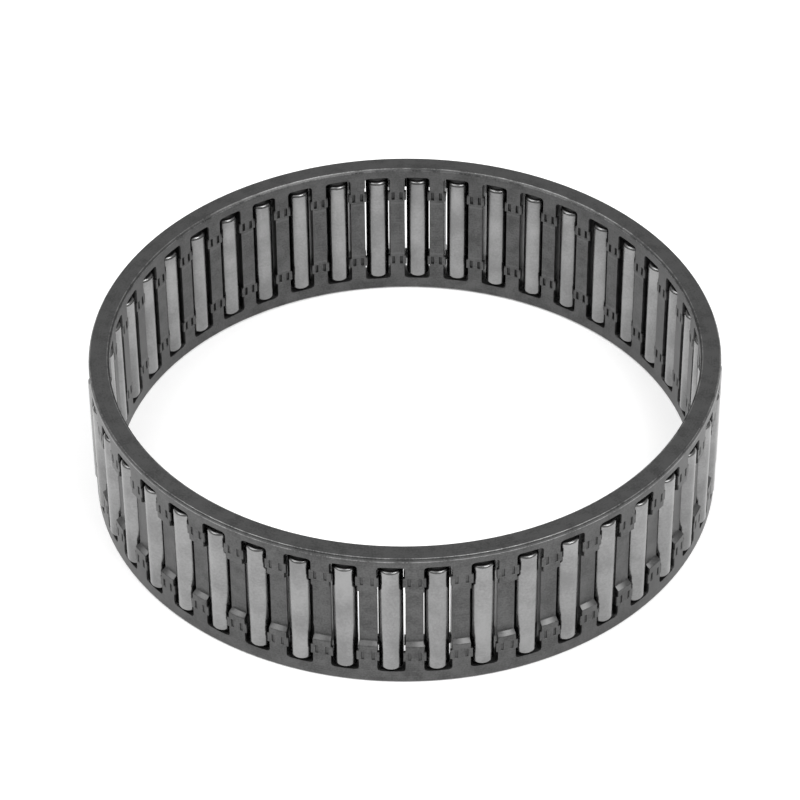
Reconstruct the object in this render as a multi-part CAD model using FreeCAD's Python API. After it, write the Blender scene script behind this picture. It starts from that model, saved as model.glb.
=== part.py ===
# Needle roller and cage assembly: one machined steel cage and a ring of loose-turning needles.
# Units are millimetres. The bearing axis is Z and the origin is on it, half way along the width.
import math
import os

import FreeCAD
import Part

os.makedirs("parts", exist_ok=True)

# ---- needles ----
NEEDLE_COUNT = 44
NEEDLE_DIAMETER = 3.0
NEEDLE_LENGTH = 15.8
NEEDLE_CORNER = 0.4          # rounding where the side meets each flat end
PITCH_RADIUS = 38.0          # bearing axis to needle axis; shaft 73, housing 79
NEEDLE_DROP = 0.2            # the needles have settled this far towards the lower pocket ends
NEEDLE_SIDE = 0.06           # and this far clockwise, seen from +Z, in their pockets

# ---- cage ----
RIM_WIDTH = 1.595            # mean solid ring beyond the pockets; whole cage 19.95
CAGE_INSET = 0.22            # the needles stand this far proud, outside and in the bore
RIM_CHAMFER_RADIAL = 0.15    # steep lead-in on both outer edges
RIM_CHAMFER_AXIAL = 0.5
BORE_CHAMFER = 0.25
WAIST_DEPTH = 0.65           # the bars are turned down between the two outer lands
LAND_LENGTH = 5.55           # each outer land, face to start of waist
WAIST_FLANK = 0.4            # axial run of the slope from land to waist

# ---- pockets ----
POCKET_SIDE_GAP = 0.18       # needle to pocket wall, mean of the two sides
POCKET_END_GAP = 0.48        # needle to pocket end, mean of the two ends
POCKET_CORNER = 0.45
POCKET_RISE = 0.2            # pockets, waist and lips sit this far above mid width

# ---- lips that keep the needles in, pushed out of the bars by a punch ----
LIP_HEIGHT = 0.25            # how far a lip stands into the pocket
LIP_GAP = 0.15               # lip edge to a needle in the middle of its pocket
LIP_LENGTH = 1.4
LIP_FROM_FACE_OUTER = 3.975  # centre of each outer lip, from the nearer face of a centred row
LIP_FROM_FACE_INNER = 4.625
NICK_WIDTH = 0.45            # punch mark behind each lip
NICK_LENGTH = 1.4
NICK_DEPTH = 0.25
NICK_SHARE = 0.22            # nick centre to pocket edge, as a share of the bar's width there

# ---- sizes that follow ----
NEEDLE_RADIUS = NEEDLE_DIAMETER / 2
OUTER_RADIUS = PITCH_RADIUS + NEEDLE_RADIUS - CAGE_INSET
BORE_RADIUS = PITCH_RADIUS - NEEDLE_RADIUS + CAGE_INSET
WAIST_RADIUS = OUTER_RADIUS - WAIST_DEPTH
POCKET_HALF_WIDTH = NEEDLE_RADIUS + POCKET_SIDE_GAP
POCKET_HALF_LENGTH = NEEDLE_LENGTH / 2 + POCKET_END_GAP
HALF_WIDTH = POCKET_HALF_LENGTH + RIM_WIDTH
LIP_EDGE = POCKET_HALF_WIDTH - LIP_HEIGHT
LIP_REACH = math.sqrt((NEEDLE_RADIUS + LIP_GAP) ** 2 - LIP_EDGE ** 2)
PITCH_ANGLE = 360.0 / NEEDLE_COUNT
THROUGH = 1.0                # how far a cutter runs past the surface it leaves by

AXIS_ORIGIN = FreeCAD.Vector(0, 0, 0)
AXIS = FreeCAD.Vector(0, 0, 1)


def turned(points):
    """Solid of revolution about Z from (radius, height) corners."""
    corners = [FreeCAD.Vector(r, 0, z) for r, z in points]
    face = Part.Face(Part.makePolygon(corners + [corners[0]]))
    return face.revolve(AXIS_ORIGIN, AXIS, 360)


def block(x0, x1, y0, y1, z0, z1):
    return Part.makeBox(x1 - x0, y1 - y0, z1 - z0, FreeCAD.Vector(x0, y0, z0))


def around(shape, step):
    """The shape moved from +X to one of the needle positions. A bar, not a needle, is on +X."""
    copy = shape.copy()
    copy.rotate(AXIS_ORIGIN, AXIS, (step + 0.5) * PITCH_ANGLE)
    return copy


def make_blank():
    waist_half = HALF_WIDTH - LAND_LENGTH
    rim = [
        (BORE_RADIUS, HALF_WIDTH - BORE_CHAMFER),
        (BORE_RADIUS + BORE_CHAMFER, HALF_WIDTH),
        (OUTER_RADIUS - RIM_CHAMFER_RADIAL, HALF_WIDTH),
        (OUTER_RADIUS, HALF_WIDTH - RIM_CHAMFER_AXIAL),
    ]
    waist = [
        (OUTER_RADIUS, waist_half + POCKET_RISE),
        (WAIST_RADIUS, waist_half - WAIST_FLANK + POCKET_RISE),
        (WAIST_RADIUS, WAIST_FLANK - waist_half + POCKET_RISE),
        (OUTER_RADIUS, POCKET_RISE - waist_half),
    ]
    return turned(rim + waist + [(r, -z) for r, z in reversed(rim)])


def make_pocket():
    """Cutter for the pocket on +X, centred on Z = 0, with notches that leave the lips standing."""
    cutter = block(BORE_RADIUS - THROUGH, OUTER_RADIUS + THROUGH,
                   -POCKET_HALF_WIDTH, POCKET_HALF_WIDTH,
                   -POCKET_HALF_LENGTH, POCKET_HALF_LENGTH)
    corners = [e for e in cutter.Edges if abs(e.tangentAt(e.FirstParameter).x) > 0.99]
    cutter = cutter.makeFillet(POCKET_CORNER, corners)
    outer_span = (PITCH_RADIUS + LIP_REACH, OUTER_RADIUS + 2 * THROUGH)
    inner_span = (BORE_RADIUS - 2 * THROUGH, PITCH_RADIUS - LIP_REACH)
    lips = []
    for (x0, x1), from_face in ((outer_span, LIP_FROM_FACE_OUTER),
                                (inner_span, LIP_FROM_FACE_INNER)):
        for end in (-1, 1):
            middle = end * (HALF_WIDTH - from_face)
            z0 = middle - LIP_LENGTH / 2
            z1 = middle + LIP_LENGTH / 2
            lips.append(block(x0, x1, LIP_EDGE, POCKET_HALF_WIDTH + THROUGH, z0, z1))
            lips.append(block(x0, x1, -POCKET_HALF_WIDTH - THROUGH, -LIP_EDGE, z0, z1))
    return cutter.cut(Part.makeCompound(lips))


def bar_width(radius):
    """Width of the bar between two pockets, measured round the cage at this radius."""
    return 2 * math.pi * radius / NEEDLE_COUNT - 2 * POCKET_HALF_WIDTH


def make_nicks():
    """Punch marks on both sides of the pocket on +X: outer land first, then the bore."""
    nicks = []
    outer_span = (OUTER_RADIUS - NICK_DEPTH, OUTER_RADIUS + THROUGH)
    inner_span = (BORE_RADIUS - THROUGH, BORE_RADIUS + NICK_DEPTH)
    for (x0, x1), radius, from_face in (
            (outer_span, OUTER_RADIUS, LIP_FROM_FACE_OUTER),
            (inner_span, BORE_RADIUS, LIP_FROM_FACE_INNER)):
        from_pocket = NICK_SHARE * bar_width(radius)
        for end in (-1, 1):
            middle = end * (HALF_WIDTH - from_face)
            for side in (-1, 1):
                across = side * (POCKET_HALF_WIDTH + from_pocket)
                nicks.append(block(x0, x1, across - NICK_WIDTH / 2, across + NICK_WIDTH / 2,
                                   middle - NICK_LENGTH / 2, middle + NICK_LENGTH / 2))
    return nicks


def make_cage():
    pocket = make_pocket()
    cutters = [pocket] + make_nicks()
    for cutter in cutters:
        cutter.translate(FreeCAD.Vector(0, 0, POCKET_RISE))
    tools = [around(cutter, step) for step in range(NEEDLE_COUNT) for cutter in cutters]
    return make_blank().cut(Part.makeCompound(tools))


def make_needle():
    """One needle on the Z axis, centred on the origin."""
    body = Part.makeCylinder(NEEDLE_RADIUS, NEEDLE_LENGTH,
                             FreeCAD.Vector(0, 0, -NEEDLE_LENGTH / 2))
    rims = [e for e in body.Edges if isinstance(e.Curve, Part.Circle)]
    return body.makeFillet(NEEDLE_CORNER, rims)


cage = make_cage()
solid = cage.Solids[0]
print("cage solids", len(cage.Solids), "valid", solid.isValid(), "volume", round(solid.Volume, 1))
solid.exportStep("parts/cage.step")

needle = make_needle()
needle.translate(FreeCAD.Vector(PITCH_RADIUS, -NEEDLE_SIDE, POCKET_RISE - NEEDLE_DROP))
for number in range(NEEDLE_COUNT):
    around(needle, number).exportStep("parts/needle_%02d.step" % (number + 1))
print("needles", NEEDLE_COUNT, "volume each", round(needle.Volume, 2))
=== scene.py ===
import math

import bmesh
import bpy
from mathutils import Matrix, Vector


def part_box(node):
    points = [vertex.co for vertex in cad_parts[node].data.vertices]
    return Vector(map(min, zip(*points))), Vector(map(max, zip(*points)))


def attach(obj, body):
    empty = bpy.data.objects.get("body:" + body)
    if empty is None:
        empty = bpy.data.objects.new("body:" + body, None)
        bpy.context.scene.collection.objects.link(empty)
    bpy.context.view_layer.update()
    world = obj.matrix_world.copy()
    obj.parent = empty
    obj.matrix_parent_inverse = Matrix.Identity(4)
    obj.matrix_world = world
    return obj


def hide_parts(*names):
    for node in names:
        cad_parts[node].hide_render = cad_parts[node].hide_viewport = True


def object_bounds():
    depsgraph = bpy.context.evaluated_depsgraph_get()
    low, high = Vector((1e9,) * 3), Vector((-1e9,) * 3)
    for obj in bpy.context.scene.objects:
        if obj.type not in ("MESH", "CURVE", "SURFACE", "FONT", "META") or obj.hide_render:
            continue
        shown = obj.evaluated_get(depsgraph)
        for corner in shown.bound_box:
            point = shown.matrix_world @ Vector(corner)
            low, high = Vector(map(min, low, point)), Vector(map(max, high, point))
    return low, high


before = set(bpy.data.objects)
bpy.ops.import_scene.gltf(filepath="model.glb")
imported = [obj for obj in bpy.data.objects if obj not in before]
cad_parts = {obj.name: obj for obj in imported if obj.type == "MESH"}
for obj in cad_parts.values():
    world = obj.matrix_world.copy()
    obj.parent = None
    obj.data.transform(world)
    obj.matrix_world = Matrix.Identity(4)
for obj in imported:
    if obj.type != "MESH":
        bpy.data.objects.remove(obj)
cadLow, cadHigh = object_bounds()
print("frame loaded:", len(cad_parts), "nodes")

mm = 0.001
tiny = 0.001 * mm               # slack when a point's place is tested
facing = 0.99                   # a face looks along an axis when its normal is this much along it
smoothAngle = math.radians(35)
needleNames = sorted(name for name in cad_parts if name.startswith("needle_"))
needlePitch = 2 * math.pi / len(needleNames)        # the angle from one needle to the next


# small helpers that the pieces share

def deselectAll():
    if bpy.context.mode != "OBJECT":
        bpy.ops.object.mode_set(mode="OBJECT")
    bpy.ops.object.select_all(action="DESELECT")


def editOnly(piece):
    deselectAll()
    piece.select_set(True)
    bpy.context.view_layer.objects.active = piece
    bpy.ops.object.mode_set(mode="EDIT")
    bpy.ops.mesh.select_all(action="DESELECT")


def selectWhere(piece, kind, test):     # kind is verts, edges or faces; leaves only the matches selected
    bpy.ops.mesh.select_mode(type={"verts": "VERT", "edges": "EDGE", "faces": "FACE"}[kind])
    bpy.ops.mesh.select_all(action="DESELECT")
    edited = bmesh.from_edit_mesh(piece.data)
    for part in getattr(edited, kind):
        if test(part):
            part.select_set(True)
    bmesh.update_edit_mesh(piece.data)


def cutAcross(place, direction):        # a new line of edges where a plane crosses the piece
    bpy.ops.mesh.select_all(action="SELECT")
    bpy.ops.mesh.bisect(plane_co=place, plane_no=direction)


def boxFrom(name, low, high):
    middle = [(a + b) / 2 for a, b in zip(low, high)]
    deselectAll()
    bpy.ops.mesh.primitive_cube_add(size=1, location=middle,
                                    scale=[b - a for a, b in zip(low, high)])
    piece = bpy.context.object
    piece.name = piece.data.name = name
    bpy.ops.object.transform_apply(location=True, rotation=True, scale=True)
    return piece


def applyModifier(piece, kind, settings):
    deselectAll()
    piece.select_set(True)
    bpy.context.view_layer.objects.active = piece
    modifier = piece.modifiers.new(kind.lower(), kind)
    for name, value in settings.items():
        setattr(modifier, name, value)
    bpy.ops.object.modifier_apply(modifier=modifier.name)


def carve(piece, cutter):
    applyModifier(piece, "BOOLEAN", {"operation": "DIFFERENCE", "solver": "EXACT", "object": cutter})
    bpy.data.objects.remove(cutter)


def report(piece):                      # a closed piece has no open edges
    made = bmesh.new()
    made.from_mesh(piece.data)
    triangles = sum(len(face.verts) - 2 for face in made.faces)
    openEdges = sum(len(edge.link_faces) != 2 for edge in made.edges)
    print(piece.name, "has", triangles, "triangles and", openEdges, "open edges")
    made.free()


# the cage: one pocket's share of the ring is modelled, then copied all the way round

cage = {
    "pitchRadius": 38.0 * mm,                   # bearing axis to needle axis
    "outerRadius": 39.28 * mm,
    "boreRadius": 36.72 * mm,
    "halfWidth": 9.975 * mm,
    "outerChamfer": (0.15 * mm, 0.5 * mm),      # radial, axial
    "boreChamfer": 0.25 * mm,
    "waistDepth": 0.65 * mm,
    "landLength": 5.55 * mm,
    "waistFlank": 0.4 * mm,
    "pocketHalfWidth": 1.68 * mm,
    "pocketHalfLength": 8.38 * mm,
    "pocketCorner": 0.45 * mm,
    "pocketCornerSteps": 3,
    "pocketRise": 0.2 * mm,                     # the pocket row sits this far above mid width
    "lipHeight": 0.25 * mm,
    "lipReach": 0.823 * mm,                     # lips start this far in or out from the pitch radius
    "lipHalfLength": 0.7 * mm,
    "outerLipAt": 6.0 * mm,                     # lip middles, from the middle of the pocket
    "innerLipAt": 5.35 * mm,
    "nickWidth": 0.45 * mm,
    "nickHalfLength": 0.7 * mm,
    "nickDepth": 0.25 * mm,
    "nickFloor": (0.75, 0.85),                  # the floor's width and length, next to the mouth's
    "nickShare": 0.22,                          # pocket edge to nick middle, as a share of the bar
    "softEdge": 0.05 * mm,
    "softEdgeSteps": 2,
    "sharpAngle": math.radians(25),
    "stepsPerPocket": 4,
    "carveWeld": 0.002 * mm,                    # points closer than this are one point after the cuts
    "seamWeld": 0.003 * mm,                     # and where two copies meet
    "normalWeight": 80,
}
clear = 1.0 * mm            # how far the pocket cutter runs past the ring, and a nick's half as far


def cageSector():                       # one pitch of the ring, still without its pocket
    half, outer, bore = cage["halfWidth"], cage["outerRadius"], cage["boreRadius"]
    chamferIn, chamferDown = cage["outerChamfer"]
    rise, pitchRadius = cage["pocketRise"], cage["pitchRadius"]
    waistEdge = half - cage["landLength"]
    waistFloor = waistEdge - cage["waistFlank"]
    deselectAll()
    bpy.ops.mesh.primitive_plane_add(size=1, location=((outer + bore) / 2, 0, 0),
                                     rotation=(math.pi / 2, 0, 0))
    sector = bpy.context.object
    sector.name = "cageSector"
    sector.scale = (outer - bore, 2 * half, 1)
    bpy.ops.object.transform_apply(location=True, rotation=True, scale=True)
    editOnly(sector)
    for middle, height in ((rise, waistEdge), (rise, waistFloor),
                           (0, half - chamferDown), (0, half - cage["boreChamfer"])):
        cutAcross((0, 0, middle + height), (0, 0, 1))
        cutAcross((0, 0, middle - height), (0, 0, 1))
    selectWhere(sector, "verts", lambda v: v.co.x > pitchRadius and abs(v.co.z - rise) < waistFloor + tiny)
    bpy.ops.transform.translate(value=(-cage["waistDepth"], 0, 0))
    selectWhere(sector, "verts", lambda v: v.co.x > pitchRadius and abs(v.co.z) > half - tiny)
    bpy.ops.transform.translate(value=(-chamferIn, 0, 0))
    selectWhere(sector, "verts", lambda v: v.co.x < pitchRadius and abs(v.co.z) > half - tiny)
    bpy.ops.transform.translate(value=(cage["boreChamfer"], 0, 0))
    bpy.ops.mesh.select_all(action="SELECT")
    bpy.ops.mesh.spin(steps=cage["stepsPerPocket"], angle=needlePitch,
                      center=(0, 0, 0), axis=(0, 0, 1))
    bpy.ops.mesh.select_all(action="SELECT")
    bpy.ops.mesh.normals_make_consistent(inside=False)
    bpy.ops.object.mode_set(mode="OBJECT")
    sector.rotation_euler.z = needlePitch / 2       # the pocket sits on +X
    bpy.ops.object.transform_apply(location=True, rotation=True, scale=True)
    return sector


def isLip(face):                        # a patch of the cutter's side where a lip stands
    middle = face.calc_center_median()
    outward = middle.x - cage["pitchRadius"]
    if abs(face.normal.y) < facing or abs(outward) < cage["lipReach"]:
        return False
    lipAt = cage["outerLipAt"] if outward > 0 else cage["innerLipAt"]
    return abs(abs(middle.z) - lipAt) < cage["lipHalfLength"]


def pocketCutter():
    wide, tall = cage["pocketHalfWidth"], cage["pocketHalfLength"]
    cutter = boxFrom("pocketCutter", (cage["boreRadius"] - clear, -wide, -tall),
                     (cage["outerRadius"] + clear, wide, tall))
    editOnly(cutter)
    selectWhere(cutter, "edges", lambda e: abs((e.verts[0].co - e.verts[1].co).x) > clear)
    bpy.ops.mesh.bevel(offset=cage["pocketCorner"], segments=cage["pocketCornerSteps"])
    for height in (cage["outerLipAt"], cage["innerLipAt"]):
        for end in (-1, 1):
            for edge in (-cage["lipHalfLength"], cage["lipHalfLength"]):
                cutAcross((0, 0, end * height + edge), (0, 0, 1))
    for reach in (-cage["lipReach"], cage["lipReach"]):
        cutAcross((cage["pitchRadius"] + reach, 0, 0), (1, 0, 0))
    for side in (-1, 1):                # each lip's patch is pushed in, so the cut leaves the lip
        selectWhere(cutter, "faces", lambda f: isLip(f) and f.normal.y * side > 0)
        bpy.ops.mesh.extrude_region_move(
            TRANSFORM_OT_translate={"value": (0, -side * cage["lipHeight"], 0)})
    bpy.ops.mesh.select_all(action="SELECT")
    bpy.ops.transform.translate(value=(0, 0, cage["pocketRise"]))
    bpy.ops.object.mode_set(mode="OBJECT")
    return cutter


def nickCutter(radius, outward, height, side):      # the punch mark behind one lip
    barWidth = radius * needlePitch - 2 * cage["pocketHalfWidth"]
    middle = side * (cage["pocketHalfWidth"] + cage["nickShare"] * barWidth)
    wide, tall, deep = cage["nickWidth"] / 2, cage["nickHalfLength"], cage["nickDepth"]
    near, far = (radius - deep, radius + clear / 2) if outward else (radius - clear / 2, radius + deep)
    bottom = near if outward else far
    cutter = boxFrom("nickCutter", (near, middle - wide, height - tall),
                     (far, middle + wide, height + tall))
    editOnly(cutter)
    selectWhere(cutter, "faces", lambda f: abs(f.calc_center_median().x - bottom) < tiny)
    bpy.ops.transform.resize(value=(1, *cage["nickFloor"]), center_override=(bottom, middle, height))
    bpy.ops.object.mode_set(mode="OBJECT")
    return cutter


def softenSector(sector):               # opens the two seams, then rounds every sharp edge
    seam = math.tan(needlePitch / 2)

    def onSeam(vertex):
        return abs(abs(vertex.co.y) - seam * vertex.co.x) < cage["carveWeld"]

    editOnly(sector)
    bpy.ops.mesh.select_all(action="SELECT")
    bpy.ops.mesh.remove_doubles(threshold=cage["carveWeld"])
    selectWhere(sector, "faces", lambda f: all(onSeam(v) for v in f.verts))
    bpy.ops.mesh.delete(type="FACE")
    bpy.ops.mesh.select_mode(type="EDGE")
    bpy.ops.mesh.select_all(action="DESELECT")
    bpy.ops.mesh.edges_select_sharp(sharpness=cage["sharpAngle"])
    bpy.ops.mesh.bevel(offset=cage["softEdge"], segments=cage["softEdgeSteps"], profile=0.5,
                       clamp_overlap=True)
    bpy.ops.object.mode_set(mode="OBJECT")


def spreadRound(part, count, name):     # copies the part to every needle position as one piece
    copies = []
    for step in range(count):
        copy = bpy.data.objects.new(name, part.data.copy())
        copy.data.transform(Matrix.Rotation((step + 0.5) * needlePitch, 4, "Z"))
        bpy.context.scene.collection.objects.link(copy)
        copies.append(copy)
    deselectAll()
    for copy in copies:
        copy.select_set(True)
    bpy.context.view_layer.objects.active = copies[0]
    bpy.ops.object.join()
    bpy.data.objects.remove(part)
    return copies[0]


def buildCage():
    sector = cageSector()
    carve(sector, pocketCutter())
    for radius, outward, lipAt in ((cage["outerRadius"], True, cage["outerLipAt"]),
                                   (cage["boreRadius"], False, cage["innerLipAt"])):
        for end in (-1, 1):
            for side in (-1, 1):
                carve(sector, nickCutter(radius, outward, cage["pocketRise"] + end * lipAt, side))
    softenSector(sector)
    ring = spreadRound(sector, len(needleNames), "cageRing")
    editOnly(ring)
    bpy.ops.mesh.select_all(action="SELECT")
    bpy.ops.mesh.remove_doubles(threshold=cage["seamWeld"])
    bpy.ops.mesh.select_all(action="SELECT")
    bpy.ops.mesh.normals_make_consistent(inside=False)
    bpy.ops.object.mode_set(mode="OBJECT")
    bpy.ops.object.shade_smooth_by_angle(angle=smoothAngle)
    applyModifier(ring, "WEIGHTED_NORMAL", {"keep_sharp": True, "weight": cage["normalWeight"]})
    return ring


ring = buildCage()
report(ring)


# the needles: one is turned and ground on the axis, then each gets its own copy in its own place

needle = {
    "sides": 48,
    "cornerRadius": 0.4 * mm,
    "cornerSteps": 5,
    "endRing": 0.35 * mm,       # a faint ring near the edge of each end, where the grinding stops
    "endStep": 0.06 * mm,
    "endDish": 0.015 * mm,
}


def buildNeedle(low, high):     # one needle, standing on the Z axis at mid width
    radius, tall = (high.x - low.x) / 2, high.z - low.z
    deselectAll()
    bpy.ops.mesh.primitive_cylinder_add(vertices=needle["sides"], radius=radius, depth=tall)
    blank = bpy.context.object
    blank.name = "needleBlank"
    editOnly(blank)
    selectWhere(blank, "edges", lambda e: abs(e.verts[0].co.z - e.verts[1].co.z) < tiny)
    bpy.ops.mesh.bevel(offset=needle["cornerRadius"], segments=needle["cornerSteps"], profile=0.5)
    for end in (-1, 1):
        selectWhere(blank, "faces", lambda f: f.normal.z * end > facing)
        bpy.ops.mesh.inset(thickness=needle["endRing"])
        bpy.ops.mesh.inset(thickness=needle["endStep"], depth=-needle["endDish"])
        bpy.ops.mesh.inset(thickness=needle["endRing"])
    cutAcross((0, 0, 0), (0, 0, 1))
    bpy.ops.object.mode_set(mode="OBJECT")
    bpy.ops.object.shade_smooth_by_angle(angle=smoothAngle)
    return blank


def placeNeedle(blank, name):
    low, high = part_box(name)
    middle = (low + high) / 2
    turn = math.atan2(middle.y, middle.x)
    copy = bpy.data.objects.new("roller" + name[len("needle"):], blank.data.copy())
    copy.data.transform(Matrix.Translation(middle) @ Matrix.Rotation(turn, 4, "Z"))
    bpy.context.scene.collection.objects.link(copy)
    return copy


blank = buildNeedle(*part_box(needleNames[0]))
report(blank)
needles = [placeNeedle(blank, name) for name in needleNames]
bpy.data.objects.remove(blank)
print("needles placed:", len(needles))


# shader maths

class Flow:                                 # one output socket, with maths on it
    def __init__(self, tree, socket=None):
        self.tree, self.socket = tree, socket

    def node(self, kind, settings, inputs, output=0):       # any node: settings first, then sockets
        made = self.tree.nodes.new(kind)
        for name, value in settings.items():
            setattr(made, name, value)
        for name, value in inputs.items():
            if isinstance(value, Flow):
                self.tree.links.new(value.socket, made.inputs[name])
            else:
                made.inputs[name].default_value = value
        return Flow(self.tree, made.outputs[output])

    def maths(self, operation, first, second=0.0):
        return self.node("ShaderNodeMath", {"operation": operation}, {0: first, 1: second})

    def __add__(self, other):
        return self.maths("ADD", self, other)

    def __sub__(self, other):
        return self.maths("SUBTRACT", self, other)

    def __rsub__(self, other):
        return self.maths("SUBTRACT", other, self)

    def __mul__(self, other):
        return self.maths("MULTIPLY", self, other)

    def __abs__(self):
        return self.maths("ABSOLUTE", self)

    def __pow__(self, power):
        return self.maths("POWER", self, power)

    __radd__, __rmul__ = __add__, __mul__

    def least(self, other):
        return self.maths("MINIMUM", self, other)

    def most(self, other):
        return self.maths("MAXIMUM", self, other)

    def eased(self, start, end):            # 0 up to start, 1 from end on, or falling if end is first
        return self.node("ShaderNodeMapRange", {"interpolation_type": "SMOOTHSTEP"},
                         {"Value": self, "From Min": start, "From Max": end})

    def blend(self, low, high):             # between two colours, by this value
        return self.node("ShaderNodeMix", {"data_type": "RGBA"},
                         {"Factor": self, 6: low, 7: high}, 2)

    def bump(self, strength, depth):
        return self.node("ShaderNodeBump", {}, {"Height": self, "Strength": strength, "Distance": depth})


def grey(value):
    return (value, value, value, 1.0)


def surfaceOf(made):
    return made.node_tree.nodes["Principled BSDF"]


def newMaterial(name, settings):            # a Principled surface with its fixed sockets set
    made = bpy.data.materials.new(name)
    made.use_nodes = True
    for socket, value in settings.items():
        surfaceOf(made).inputs[socket].default_value = value
    return made


def placeOn(made):                          # each point's place on the object, whole and as x, y, z
    place = Flow(made.node_tree).node("ShaderNodeTexCoord", {}, {}, "Object")
    parts = made.node_tree.nodes.new("ShaderNodeSeparateXYZ")
    made.node_tree.links.new(place.socket, parts.inputs[0])
    return place, [Flow(made.node_tree, out) for out in parts.outputs]


def feed(made, values):
    for socket, flow in values.items():
        made.node_tree.links.new(flow.socket, surfaceOf(made).inputs[socket])


def speckle(place, size, detail=2.0):       # smooth random patches of about this size
    return place.node("ShaderNodeTexNoise", {}, {"Vector": place, "Scale": 1 / size, "Detail": detail})


def lines(along, pitch):                    # random fine lines across one direction
    return along.node("ShaderNodeTexNoise", {"noise_dimensions": "1D"}, {"W": along, "Scale": 1 / pitch})


# the cage's finish: dark phosphated steel over turning marks, worn and painted bright along the edges, with
# painted shade deep in the pockets and a painted reflection on the waist slopes

cageSteel = {
    "dark": 0.052,
    "light": 0.112,
    "toneRange": (0.33, 0.67),  # noise below the first is all dark, above the second all light
    "patchShare": 0.4,
    "grainShare": 0.4,
    "turningShare": 0.2,
    "faceLift": 0.4,            # the two flat faces are a little lighter than the walls
    "faceEdge": (0.03 * mm, 0.01 * mm),
    "slopeHighlight": 0.3,           # and so are the slopes of the waist, a painted reflection of the light from above
    "slopeEdge": 0.06 * mm,
    # the colour of the worn edges and of the highlight painted along them
    "wearAndHighlight": 0.34,
    "wearAndHighlightReach": 0.10 * mm,
    "wearAndHighlightPatches": (0.35, 0.6),
    "wearAndHighlightPatchShare": 0.6,
    "wearAndHighlightSpots": (0.52, 0.62),
    "wearAndHighlightSpotShare": 0.4,
    "pocketShade": 0.5,              # painted shade: how much of the dark tone is left deep inside the pockets
    "pocketShadeDepth": (0.1 * mm, 0.45 * mm),
    "pocketShadeEnd": (0.02 * mm, 0.15 * mm),
    "metallic": 0.85,
    "specular": 0.5,
    "roughness": 0.40,
    "roughSpread": 0.12,
    "wornPolish": 0.1,
    "patch": 2.0 * mm,
    "grain": 0.22 * mm,
    "detail": 3.0,
    "turningPitch": 0.11 * mm,
    "bumpDepth": 0.010 * mm,
    "bumpStrength": 0.35,
    "turningBump": 0.7,
    "grainBump": 0.3,
}


def wearAndHighlightEdges(radius, height):              # the turned edges that stick out: real wear, plus a painted highlight along them
    half, outer, bore = cage["halfWidth"], cage["outerRadius"], cage["boreRadius"]
    chamferIn, chamferDown = cage["outerChamfer"]
    both = abs(height)

    def near(edgeRadius, edgeHeight, side):
        away = ((radius - edgeRadius) ** 2 + (side - edgeHeight) ** 2) ** 0.5
        return away.eased(cageSteel["wearAndHighlightReach"], 0.0)

    outside = near(outer - chamferIn, half, height).most(near(outer, half - chamferDown, height))
    inside = near(bore + cage["boreChamfer"], half, both).most(near(bore, half - cage["boreChamfer"], both))
    return outside.most(inside)             # outside, only the top edge gets the wear and the painted highlight


def paintedPocketShade(radius, along):              # painted shade on the pocket walls, away from the outer skin and the bore
    waistEdge = cage["halfWidth"] - cage["landLength"]
    waist = along.eased(waistEdge, waistEdge - cage["waistFlank"])
    skin = cage["outerRadius"] - waist * cage["waistDepth"]
    buried = (skin - radius).least(radius - cage["boreRadius"])
    endStart, endDone = (cage["pocketHalfLength"] - edge for edge in cageSteel["pocketShadeEnd"])
    return buried.eased(*cageSteel["pocketShadeDepth"]) * along.eased(endStart, endDone)


def cageMaterial():
    look, half = cageSteel, cage["halfWidth"]
    made = newMaterial("phosphatedSteel", {
        "Metallic": look["metallic"], "Specular IOR Level": look["specular"]})
    place, (x, y, height) = placeOn(made)
    radius = (x ** 2 + y ** 2) ** 0.5
    patches = speckle(place, look["patch"], look["detail"])
    grain = speckle(place, look["grain"], look["detail"])
    turning = lines(radius + height, look["turningPitch"])
    along = abs(height - cage["pocketRise"])
    waistEdge = half - cage["landLength"]
    waistFloor = waistEdge - cage["waistFlank"]

    wearAndHighlightBreakup = (patches.eased(*look["wearAndHighlightPatches"]) * look["wearAndHighlightPatchShare"]
              + grain.eased(*look["wearAndHighlightSpots"]) * look["wearAndHighlightSpotShare"])
    wearAndHighlight = wearAndHighlightEdges(radius, height) * wearAndHighlightBreakup
    tone = (patches * look["patchShare"] + grain * look["grainShare"]
            + turning * look["turningShare"]).eased(*look["toneRange"])
    flat = abs(height).eased(*(half - edge for edge in look["faceEdge"]))
    slope = (along.eased(waistEdge, waistEdge - look["slopeEdge"])
             * along.eased(waistFloor, waistFloor + look["slopeEdge"]))
    # the waist slopes get a painted reflection
    lifted = tone + flat * look["faceLift"] + slope * look["slopeHighlight"]
    colour = lifted.blend(grey(look["dark"]), grey(look["light"]))
    # painted shade deep inside the pockets
    colour = paintedPocketShade(radius, along).blend(colour, grey(look["dark"] * look["pocketShade"]))
    # the edges painted bright: partly wear, partly a painted highlight
    colour = wearAndHighlight.blend(colour, grey(look["wearAndHighlight"]))
    rough = look["roughness"] + (tone - 0.5) * look["roughSpread"] - wearAndHighlight * look["wornPolish"]
    bump = (turning * look["turningBump"] + grain * look["grainBump"]).bump(
        look["bumpStrength"], look["bumpDepth"])
    feed(made, {"Base Color": colour, "Roughness": rough, "Normal": bump})
    return made


# the needles' finish: ground bearing steel, with painted shade on the rounded ends

needleSteel = {
    "base": 0.275,
    "dull": 0.18,
    "toneRange": (0.35, 0.65),
    "patchShare": 0.5,
    "grainShare": 0.25,
    "grindingShare": 0.25,
    # painted shade on the rounded ends, which dims their reflection
    "endShade": 0.16,
    "endReach": (0.22 * mm, 0.02 * mm),     # the end shade starts and is full this far from the end
    "metallic": 1.0,
    "roughness": 0.20,
    "roughSpread": 0.1,
    "endRough": 0.12,
    "patch": 4.5 * mm,
    "grain": 0.3 * mm,
    "grainDetail": 3.0,
    "grindingPitch": 0.05 * mm,
    "bumpDepth": 0.0012 * mm,
    "bumpStrength": 0.25,
}


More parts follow.
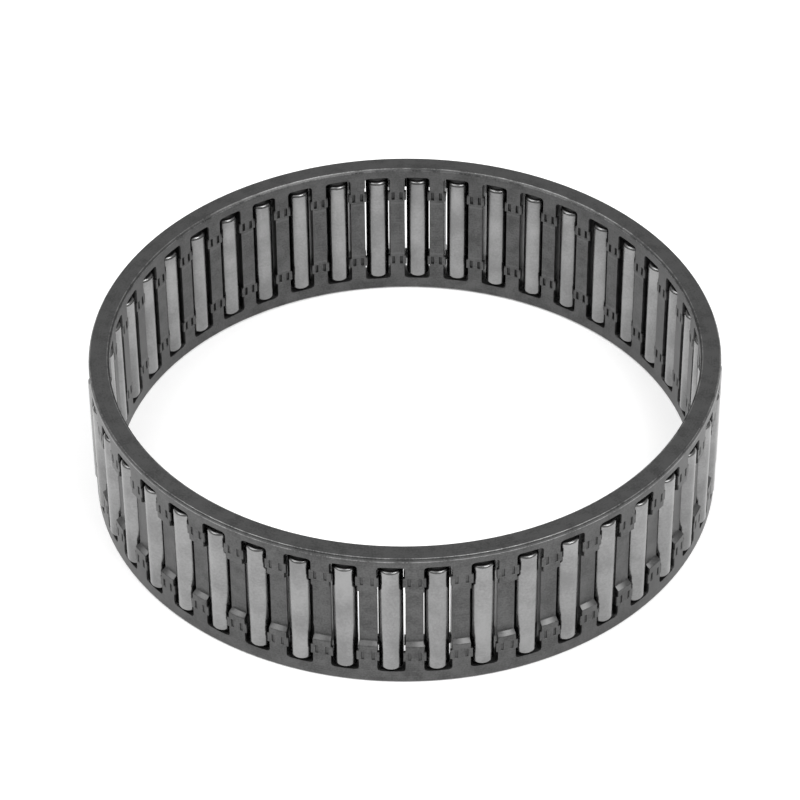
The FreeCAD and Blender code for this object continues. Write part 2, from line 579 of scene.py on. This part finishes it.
def needleMaterial(low, high):
    look = needleSteel
    made = newMaterial("groundSteel", {"Metallic": look["metallic"]})
    place, axes = placeOn(made)
    height = axes[2]
    patches = speckle(place, look["patch"])
    grain = speckle(place, look["grain"], look["grainDetail"])
    grinding = lines(height, look["grindingPitch"])
    middle, half = (low.z + high.z) / 2, (high.z - low.z) / 2
    end = abs(height - middle).eased(*(half - reach for reach in look["endReach"]))
    tone = (patches * look["patchShare"] + grain * look["grainShare"]
            + grinding * look["grindingShare"])
    colour = tone.eased(*look["toneRange"]).blend(grey(look["dull"]), grey(look["base"]))
    # painted shade on the rounded ends
    colour = end.blend(colour, grey(look["endShade"]))
    rough = look["roughness"] + (tone - 0.5) * look["roughSpread"] + end * look["endRough"]
    bump = grinding.bump(look["bumpStrength"], look["bumpDepth"])
    feed(made, {"Base Color": colour, "Roughness": rough, "Normal": bump})
    return made


def finishPiece(piece, material, body, node):
    piece.data.materials.clear()
    piece.data.materials.append(material)
    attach(piece, body)
    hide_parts(node)


finishPiece(ring, cageMaterial(), "cage", "cage")
groundSteel = needleMaterial(*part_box(needleNames[0]))
for piece, name in zip(needles, needleNames):
    finishPiece(piece, groundSteel, name, name)
print("materials set")


# floor, light and camera

studio = {
    "floorSize": 6.0,
    "floorTone": 0.88,
    "floorRoughness": 0.9,
    "floorSpecular": 0.1,
    "floorGlow": 0.3,           # lifts the shadow under the ring
    "skyStrength": 0.5,
    "keyPower": 4.4,
    "keySize": 0.45,
    "keyPlace": (0.35, -0.25, 0.75),
    "fillPower": 4.0,
    "fillSize": 0.6,
    "fillPlace": (-0.42, -0.08, 0.75),
}


def layFloor():
    deselectAll()
    bpy.ops.mesh.primitive_plane_add(size=studio["floorSize"], location=(0, 0, cadLow.z))
    floor = bpy.context.object
    floor.name = "floor"
    paper = newMaterial("palePaper", {
        "Base Color": grey(studio["floorTone"]),
        "Roughness": studio["floorRoughness"],
        "Specular IOR Level": studio["floorSpecular"],
        "Emission Color": grey(1.0),
        "Emission Strength": studio["floorGlow"]})
    floor.data.materials.append(paper)


def lightSky():
    sky = bpy.data.worlds.new("studioSky")
    sky.use_nodes = True
    glow = sky.node_tree.nodes["Background"].inputs
    glow["Color"].default_value = grey(1.0)
    glow["Strength"].default_value = studio["skyStrength"]
    bpy.context.scene.world = sky


def softbox(name, place, size, power):      # a square lamp that faces the bearing
    lamp = bpy.data.lights.new(name, "AREA")
    lamp.size, lamp.energy = size, power
    holder = bpy.data.objects.new(name, lamp)
    bpy.context.scene.collection.objects.link(holder)
    holder.location = place
    holder.rotation_euler = Vector(place).to_track_quat("Z", "Y").to_euler()


layFloor()
lightSky()
softbox("keyLight", studio["keyPlace"], studio["keySize"], studio["keyPower"])
softbox("fillLight", studio["fillPlace"], studio["fillSize"], studio["fillPower"])

view = {
    "lens": 168.0,
    "sensor": 36.0,
    "near": 0.01,
    "far": 20.0,
    "distance": 0.4706,
    "azimuth": math.radians(-1.39),
    "elevation": math.radians(40.24),
    "aimRight": -0.00065,       # where the camera points, from the bearing's centre, in metres
    "aimUp": 0.000877,
    "roll": math.radians(-0.456),
}


def sideAndUp(back):            # level right and up directions for a camera that looks against back
    right = Vector((0, 0, 1)).cross(back).normalized()
    return right, back.cross(right)


def placeCamera():
    lens = bpy.data.cameras.new("viewCamera")
    lens.lens, lens.sensor_width = view["lens"], view["sensor"]
    lens.clip_start, lens.clip_end = view["near"], view["far"]
    holder = bpy.data.objects.new("viewCamera", lens)
    bpy.context.scene.collection.objects.link(holder)
    azimuth, elevation, roll = view["azimuth"], view["elevation"], view["roll"]
    back = Vector((math.sin(azimuth) * math.cos(elevation),
                   -math.cos(azimuth) * math.cos(elevation), math.sin(elevation)))
    right, upward = sideAndUp(back)
    aim = right * view["aimRight"] + upward * view["aimUp"]
    place = back * view["distance"]
    back = (place - aim).normalized()
    right, upward = sideAndUp(back)
    turnedRight = right * math.cos(roll) + upward * math.sin(roll)
    turnedUp = upward * math.cos(roll) - right * math.sin(roll)
    holder.location = place
    holder.rotation_euler = Matrix((turnedRight, turnedUp, back)).transposed().to_euler()
    bpy.context.scene.camera = holder


placeCamera()
bpy.context.scene.view_settings.view_transform = "Standard"
bpy.context.view_layer.update()
print("studio ready")
